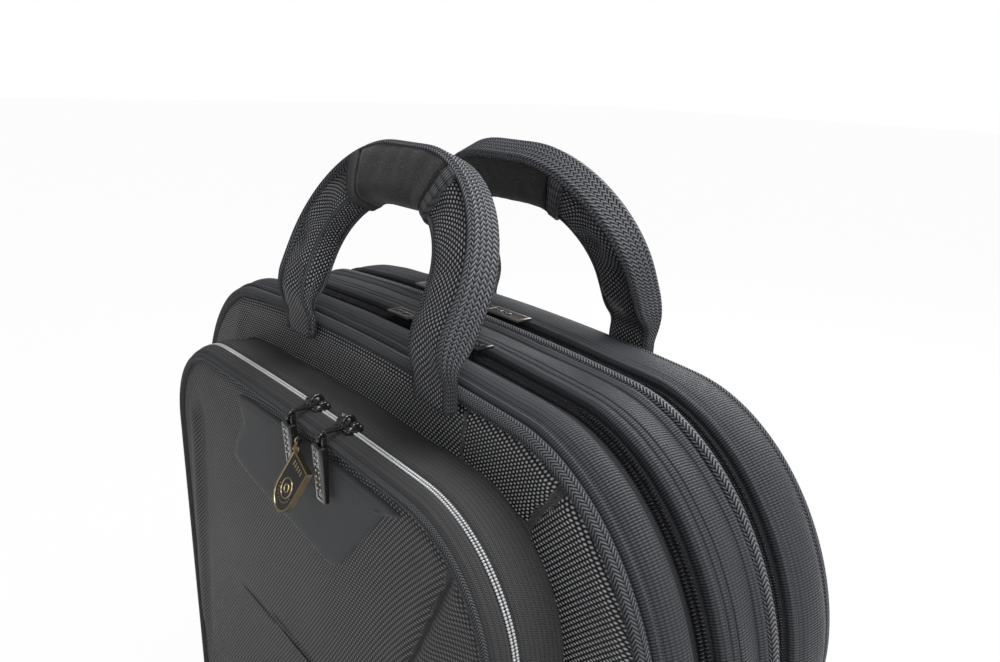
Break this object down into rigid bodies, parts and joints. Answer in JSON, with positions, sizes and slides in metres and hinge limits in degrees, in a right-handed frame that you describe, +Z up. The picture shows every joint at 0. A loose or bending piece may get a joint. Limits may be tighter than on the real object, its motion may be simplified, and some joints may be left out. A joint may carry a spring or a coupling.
{
  "type": "flight bag",
  "caption": "Soft-sided flight crew briefcase with two zipped compartments, a zipped front pocket and a pair of padded arch handles.",
  "frame": {"origin": "centre of the base on the floor, under the feet", "axes": "+Z up; -Y out of the zipped front pocket; +X to the right seen from the front"},
  "size_m": [0.4466, 0.1861, 0.4486],
  "materials": {
    "ballistic": "woven ballistic nylon, matt with a faint sheen",
    "ribbed_band": "fine ribbed nylon",
    "braid": "coarse braided webbing",
    "twill_tape": "charcoal twill zip tape",
    "smooth_patch": "smooth soft-touch charcoal",
    "neoprene": "fine speckled neoprene",
    "elastic_trim": "ribbed elastic edging",
    "black_coil": "black nylon coil",
    "silver_coil": "silver reversed coil",
    "dark_metal": "gloss black plated",
    "gunmetal": "brushed gunmetal",
    "moulded_rubber": "moulded black rubber",
    "antique_gold": "antique gold with dark enamel",
    "lining": "plain grey lining",
    "board": "black polypropylene board"
  },
  "bodies": {
    "root": {"base_tray": "ballistic", "base_board": "board", "base_feet": "moulded_rubber", "base_rivets": "dark_metal", "middle_band": "ribbed_band", "middle_piping": "braid", "front_zip_rear_coil": "black_coil", "rear_zip_front_coil": "black_coil", "divider_panel": "lining", "laptop_sleeve": "lining", "sleeve_strap": "lining", "organizer_pocket": "lining"},
    "front_section": {"front_panel": "ballistic", "front_piping": "ballistic", "front_band": "ribbed_band", "front_zip_front_coil": "black_coil", "pocket_gusset": "twill_tape", "pocket_tray": "ballistic", "pocket_zip_rear_coil": "silver_coil", "front_handle_feet": "ballistic"},
    "rear_section": {"rear_panel": "ballistic", "rear_piping": "ballistic", "rear_band": "ribbed_band", "rear_zip_rear_coil": "black_coil", "rear_handle_feet": "ballistic"},
    "pocket_flap": {"pocket_flap_panel": "ballistic", "pocket_flap_band": "twill_tape", "pocket_zip_front_coil": "silver_coil", "pocket_flap_piping": "ballistic", "pocket_patch": "smooth_patch"},
    "front_handle": {"front_handle_core": "ballistic", "front_handle_spine": "braid", "front_handle_grip": "neoprene", "front_handle_trims": "elastic_trim"},
    "rear_handle": {"rear_handle_core": "ballistic", "rear_handle_spine": "braid", "rear_handle_grip": "neoprene", "rear_handle_trims": "elastic_trim"},
    "front_zip_left_slider": {"front_zip_left_slider": "dark_metal"},
    "front_zip_left_pull": {"front_zip_left_pull": "dark_metal"},
    "front_zip_right_slider": {"front_zip_right_slider": "dark_metal"},
    "front_zip_right_pull": {"front_zip_right_pull": "dark_metal"},
    "rear_zip_left_slider": {"rear_zip_left_slider": "dark_metal"},
    "rear_zip_left_pull": {"rear_zip_left_pull": "gunmetal"},
    "rear_zip_right_slider": {"rear_zip_right_slider": "dark_metal"},
    "rear_zip_right_pull": {"rear_zip_right_pull": "gunmetal"},
    "pocket_left_slider": {"pocket_left_slider": "dark_metal"},
    "pocket_right_slider": {"pocket_right_slider": "dark_metal"},
    "pocket_left_pull": {"pocket_left_pull": "moulded_rubber", "medallion_pin": "dark_metal"},
    "pocket_right_pull": {"pocket_right_pull": "moulded_rubber"},
    "medallion": {"medallion": "antique_gold"}
  },
  "joints": [
    {"name": "front_section_hinge", "type": "hinge", "parent": "root", "child": "front_section", "pos_m": [0, -0.0605, 0.03], "axis": [1, 0, 0], "range_deg": [0, 38]},
    {"name": "rear_section_hinge", "type": "hinge", "parent": "root", "child": "rear_section", "pos_m": [0, 0.0605, 0.03], "axis": [-1, 0, 0], "range_deg": [0, 38]},
    {"name": "pocket_flap_hinge", "type": "hinge", "parent": "front_section", "child": "pocket_flap", "pos_m": [0, -0.097, 0.082], "axis": [1, 0, 0], "range_deg": [0, 32]},
    {"name": "front_handle_hinge", "type": "hinge", "parent": "front_section", "child": "front_handle", "pos_m": [0.016, -0.069, 0.351], "axis": [1, 0, 0], "range_deg": [-5, 112]},
    {"name": "rear_handle_hinge", "type": "hinge", "parent": "rear_section", "child": "rear_handle", "pos_m": [0.016, 0.069, 0.351], "axis": [-1, 0, 0], "range_deg": [-5, 112]},
    {"name": "front_zip_left_slide", "type": "slide", "parent": "root", "child": "front_zip_left_slider", "axis": [1, 0, 0], "range_m": [-0.09, 0]},
    {"name": "front_zip_left_pull_hinge", "type": "hinge", "parent": "front_zip_left_slider", "child": "front_zip_left_pull", "pos_m": [0.02, -0.027, 0.3564], "axis": [0, 1, 0], "range_deg": [0, 120]},
    {"name": "front_zip_right_slide", "type": "slide", "parent": "root", "child": "front_zip_right_slider", "axis": [1, 0, 0], "range_m": [0, 0.09]},
    {"name": "front_zip_right_pull_hinge", "type": "hinge", "parent": "front_zip_right_slider", "child": "front_zip_right_pull", "pos_m": [0.042, -0.027, 0.3564], "axis": [0, -1, 0], "range_deg": [0, 120]},
    {"name": "rear_zip_left_slide", "type": "slide", "parent": "root", "child": "rear_zip_left_slider", "axis": [1, 0, 0], "range_m": [-0.09, 0]},
    {"name": "rear_zip_left_pull_hinge", "type": "hinge", "parent": "rear_zip_left_slider", "child": "rear_zip_left_pull", "pos_m": [-0.015, 0.02, 0.3564], "axis": [0, 1, 0], "range_deg": [0, 120]},
    {"name": "rear_zip_right_slide", "type": "slide", "parent": "root", "child": "rear_zip_right_slider", "axis": [1, 0, 0], "range_m": [0, 0.09]},
    {"name": "rear_zip_right_pull_hinge", "type": "hinge", "parent": "rear_zip_right_slider", "child": "rear_zip_right_pull", "pos_m": [0.006, 0.02, 0.3564], "axis": [0, -1, 0], "range_deg": [0, 120]},
    {"name": "pocket_left_slide", "type": "slide", "parent": "pocket_flap", "child": "pocket_left_slider", "axis": [1, 0, 0], "range_m": [-0.09, 0]},
    {"name": "pocket_left_pull_hinge", "type": "hinge", "parent": "pocket_left_slider", "child": "pocket_left_pull", "pos_m": [0.013, -0.0998, 0.3185], "axis": [-1, 0, 0], "range_deg": [0, 100]},
    {"name": "pocket_right_slide", "type": "slide", "parent": "pocket_flap", "child": "pocket_right_slider", "axis": [1, 0, 0], "range_m": [0, 0.09]},
    {"name": "pocket_right_pull_hinge", "type": "hinge", "parent": "pocket_right_slider", "child": "pocket_right_pull", "pos_m": [0.045, -0.0998, 0.3185], "axis": [-1, 0, 0], "range_deg": [0, 100]},
    {"name": "medallion_hinge", "type": "hinge", "parent": "pocket_left_pull", "child": "medallion", "pos_m": [0.0193, -0.0997, 0.3082], "axis": [-1, 0, 0], "range_deg": [0, 80]}
  ]
}
